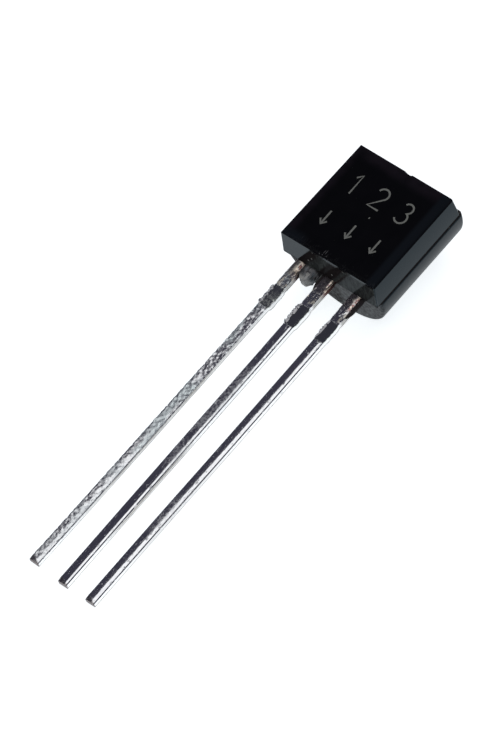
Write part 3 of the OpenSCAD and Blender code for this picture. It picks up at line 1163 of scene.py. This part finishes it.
def tear(lead, name, centre, high, low):
    """Tears both sides of a tie-bar stub, the left one more."""
    sizes = bpy.context.scene.lead_sizes
    rim, fade = 0.02 * MM, 0.1 * MM
    side = sizes.width / 2 - rim

    def weigh(co):
        share = 1.0 if co.x < centre else 0.35
        ends = ramp(min(high * MM - co.z, co.z - low * MM), 0, fade)
        return share * ends * ramp(abs(co.x - centre), side, side + rim)

    roughen(lead, name + "_tear", 0.07, sizes.tear / MM, weigh, "X")
    roughen(lead, name + "_break", 0.05, sizes.tear / MM, weigh, "Y")


def crinkle(lead, name, size, depth, high, low):
    """Presses a soft noise into the front of a lead between two heights, all in millimetres."""
    skin = front_skin(0.6)
    fade = 0.15

    def weigh(co):
        return min(high - co.z / MM, co.z / MM - low) / fade if co.y < skin else 0

    roughen(lead, name, size, depth, weigh)


def bend(lead, centre, shifts, twists, lifts):
    """Bends and twists a lead with a lattice that has one layer for each shift, from the top down."""
    sizes = bpy.context.scene.lead_sizes
    front = bpy.context.scene.case_sizes.parting
    deselect()
    bpy.ops.object.add(
        type="LATTICE", location=(centre, front + sizes.thickness / 2, (CAGE_TOP + CAGE_FOOT) / 2)
    )
    cage = bpy.context.object
    cage.scale = (4 * sizes.width, 4 * sizes.width, CAGE_TOP - CAGE_FOOT)
    cage.data.points_u = 2
    cage.data.points_v = 2
    cage.data.points_w = len(shifts)
    cage.data.interpolation_type_w = "KEY_CATMULL_ROM"
    line = zip(reversed(shifts), reversed(twists), reversed(lifts))
    for layer, (sideways, twist, lift) in enumerate(line):
        turn = Matrix.Rotation(math.radians(twist), 3, "Z")
        for point in cage.data.points[layer * 4 : layer * 4 + 4]:
            moved = turn @ point.co
            shift = sideways * MM / cage.scale.x, -lift * MM / cage.scale.y
            point.co_deform = (moved.x + shift[0], moved.y + shift[1], point.co.z)
    modify(lead, "LATTICE", object=cage)
    bpy.data.objects.remove(cage)


def cad_copy(node):
    """Merged copy of a node of the frame, in the case's own axes."""
    take(frame["nodes"][node])
    bpy.ops.object.duplicate()
    copy = bpy.context.object
    copy.name = node + "_copy"
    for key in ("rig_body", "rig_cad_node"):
        del copy[key]
    copy.parent = None
    copy.data.transform(case_axes().inverted())
    edit(copy, everything=True)
    bpy.ops.mesh.remove_doubles(threshold=WELD)
    leave_edit()
    return copy


def inner_head(node):
    """The sealed part of a lead: its bonding post or die pad, cut off inside the case."""
    sizes = bpy.context.scene.lead_sizes
    head = cad_copy(node)
    edit(head, everything=True)
    slice_off((0, 0, sizes.root - OVERLAP), (0, 0, 1), clear_inner=True)
    leave_edit()
    return head


def strip_lead(
    side, row, node, tip, stub, folds, crinkles, shifts, twists=STRAIGHT, lifts=STRAIGHT, **tin
):
    """One whole lead: blank, folded edges, neck, stub, tip, crinkles, bend and the sealed head."""
    sizes = bpy.context.scene.lead_sizes
    name = side + "_lead"
    centre = sizes.shift + row * sizes.pitch
    material = tin_finish("tin_" + side, centre / MM, tip, stub, **tin)
    lead = lead_blank(name, centre, tip * MM)
    for number, settings in enumerate(folds):
        fold(lead, f"{name}_fold_{number}", centre, *settings)
    high, low, wide, sideways = stub
    widen(lead, centre, NECK_TOP, high + NECK_RUN, sizes.neck / MM, NECK_SLOPE)
    widen(lead, centre, high, low, wide, sizes.stub_slope / MM, sideways)
    tear(lead, name, centre, high, low)
    roll_tip(lead, centre, tip * MM)
    for number, settings in enumerate(crinkles):
        crinkle(lead, f"{name}_crinkle_{number}", *settings)
    bend(lead, centre, shifts, twists, lifts)
    combine(lead, inner_head(node), "UNION")
    take(lead)
    bpy.ops.object.shade_smooth_by_angle(angle=math.radians(SMOOTH_LEAD))
    lay_down(lead)
    finish(lead, material, "tinned_lead", node)


# ---------------------------------------------------------------- studio


def aim_camera():
    """Adds the camera and makes it the scene's own."""
    view = bpy.context.scene.studio_sizes
    level_part = math.cos(view.elevation)
    towards = Vector(
        (
            math.sin(view.azimuth) * level_part,
            -math.cos(view.azimuth) * level_part,
            math.sin(view.elevation),
        )
    )
    bpy.ops.object.camera_add(location=Vector(view.aim) + towards * view.distance)
    camera = bpy.context.object
    camera.name = "studio_camera"
    camera.data.lens = view.lens
    camera.data.sensor_width = SENSOR_WIDTH
    camera.data.clip_start = CLIP_START
    camera.rotation_mode = "QUATERNION"
    level = (-towards).to_track_quat("-Z", "Y")
    camera.rotation_quaternion = level @ Matrix.Rotation(-view.roll, 3, "Z").to_quaternion()
    bpy.context.scene.camera = camera


def lay_floor():
    """Adds a floor that glows white where it is seen or mirrored and keeps its shadows."""
    view = bpy.context.scene.studio_sizes
    bpy.ops.mesh.primitive_plane_add(size=FLOOR_SIZE)
    floor = new_piece("studio_floor")
    paint = Paint("studio_floor", roughness=0.9, specular=0.1)
    paint.feed("Base Color", view.floor)
    seen = paint.node("ShaderNodeLightPath", {}, out="Is Camera Ray")
    glossy = paint.node("ShaderNodeLightPath", {}, out="Is Glossy Ray")
    paint.feed("Emission Color", FLOOR_GLOW)
    paint.feed("Emission Strength", seen * GLOW_SEEN + glossy * GLOW_MIRRORED)
    floor.data.materials.append(paint.material)


def hang_softbox():
    """Adds the one large lamp."""
    view = bpy.context.scene.studio_sizes
    bpy.ops.object.light_add(type="AREA", location=view.softbox_place)
    lamp = bpy.context.object
    lamp.name = "softbox"
    lamp.data.shape = "RECTANGLE"
    lamp.data.size = view.softbox_width
    lamp.data.size_y = view.softbox_length
    lamp.data.energy = view.softbox


def darken_sky():
    """Gives the world its plain dark colour."""
    view = bpy.context.scene.studio_sizes
    world = bpy.data.worlds.new("studio")
    bpy.context.scene.world = world
    world.use_nodes = True
    world.node_tree.nodes["Background"].inputs["Color"].default_value = (*view.dark_sky, 1)


# ---------------------------------------------------------------- operators


class TRANSISTOR_OT_case(bpy.types.Operator):
    """Model the moulded case"""

    bl_idname = "transistor.case"
    bl_label = "Moulded case"

    def execute(self, context):
        case_shell()
        return {"FINISHED"}


class TRANSISTOR_OT_marks(bpy.types.Operator):
    """Draw the pin marks on the flat face"""

    bl_idname = "transistor.marks"
    bl_label = "Pin marks"

    def execute(self, context):
        pin_marks()
        return {"FINISHED"}


class TRANSISTOR_OT_sealed(bpy.types.Operator):
    """Finish the chip, its solder and the bond wires inside the case"""

    bl_idname = "transistor.sealed"
    bl_label = "Sealed pieces"

    def execute(self, context):
        look = context.scene.finishes
        gold = plain_finish("gold_wire", look.gold, 0.2, 1.0)
        finishes = {
            "die_attach": plain_finish("die_solder", look.solder, 0.35, 1.0),
            "silicon_die": plain_finish("silicon", look.silicon, 0.12, 0.4),
            "emitter_bond_wire": gold,
            "base_bond_wire": gold,
        }
        for node, material in finishes.items():
            mesh = frame["nodes"][node].data
            mesh.materials.clear()
            mesh.materials.append(material)
        return {"FINISHED"}


class TRANSISTOR_OT_leads(bpy.types.Operator):
    """Model the three strip leads"""

    bl_idname = "transistor.leads"
    bl_label = "Strip leads"

    def execute(self, context):
        for row, (side, settings) in enumerate(LEADS.items(), start=-1):
            strip_lead(side, row, **settings)
        return {"FINISHED"}


class TRANSISTOR_OT_studio(bpy.types.Operator):
    """Set the camera, the floor and the light"""

    bl_idname = "transistor.studio"
    bl_label = "Studio"

    def execute(self, context):
        deselect()
        aim_camera()
        lay_floor()
        hang_softbox()
        darken_sky()
        context.scene.view_settings.view_transform = "Standard"
        return {"FINISHED"}


class TRANSISTOR_PT_builder(bpy.types.Panel):
    """Sidebar panel with a button for each group of pieces and the studio"""

    bl_idname = "TRANSISTOR_PT_builder"
    bl_label = "Transistor"
    bl_space_type = "VIEW_3D"
    bl_region_type = "UI"
    bl_category = "Transistor"

    def draw(self, context):
        for step in STEPS:
            self.layout.operator(step.bl_idname)


STEPS = (
    TRANSISTOR_OT_studio,
    TRANSISTOR_OT_case,
    TRANSISTOR_OT_marks,
    TRANSISTOR_OT_leads,
    TRANSISTOR_OT_sealed,
)
GROUPS = {
    "case_sizes": CaseSizes,
    "lead_sizes": LeadSizes,
    "mark_sizes": MarkSizes,
    "finishes": Finishes,
    "studio_sizes": StudioSizes,
}


def register():
    """Adds the property groups, the operators and the panel to Blender."""
    for group in GROUPS.values():
        bpy.utils.register_class(group)
    for name, group in GROUPS.items():
        setattr(bpy.types.Scene, name, PointerProperty(type=group))
    for step in (*STEPS, TRANSISTOR_PT_builder):
        bpy.utils.register_class(step)


def unregister():
    """Takes away what register() added, in reverse order."""
    for step in (TRANSISTOR_PT_builder, *reversed(STEPS)):
        bpy.utils.unregister_class(step)
    for name in GROUPS:
        delattr(bpy.types.Scene, name)
    for group in reversed(GROUPS.values()):
        bpy.utils.unregister_class(group)


def main():
    """Runs every step."""
    register()
    for step in STEPS:
        family, verb = step.bl_idname.split(".")
        getattr(getattr(bpy.ops, family), verb)()


if __name__ == "__main__":
    main()
